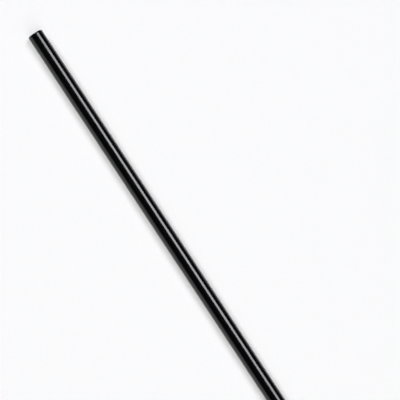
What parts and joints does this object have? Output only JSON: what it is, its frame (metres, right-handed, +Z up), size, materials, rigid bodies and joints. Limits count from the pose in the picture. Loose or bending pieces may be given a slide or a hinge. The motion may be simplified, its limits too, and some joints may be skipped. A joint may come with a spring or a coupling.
{
  "type": "jumbo drinking straw",
  "caption": "Straight black plastic drinking straw, jumbo size, a thin-walled open tube cut square at both ends.",
  "frame": {"origin": "on the surface the straw lies on, below the middle of its length", "axes": "+X along the straw, +Z up from the surface it lies on"},
  "size_m": [0.197, 0.006, 0.006],
  "materials": {
    "straw": "smooth gloss black polypropylene"
  },
  "bodies": {
    "root": {"straw_tube": "straw"}
  },
  "joints": []
}
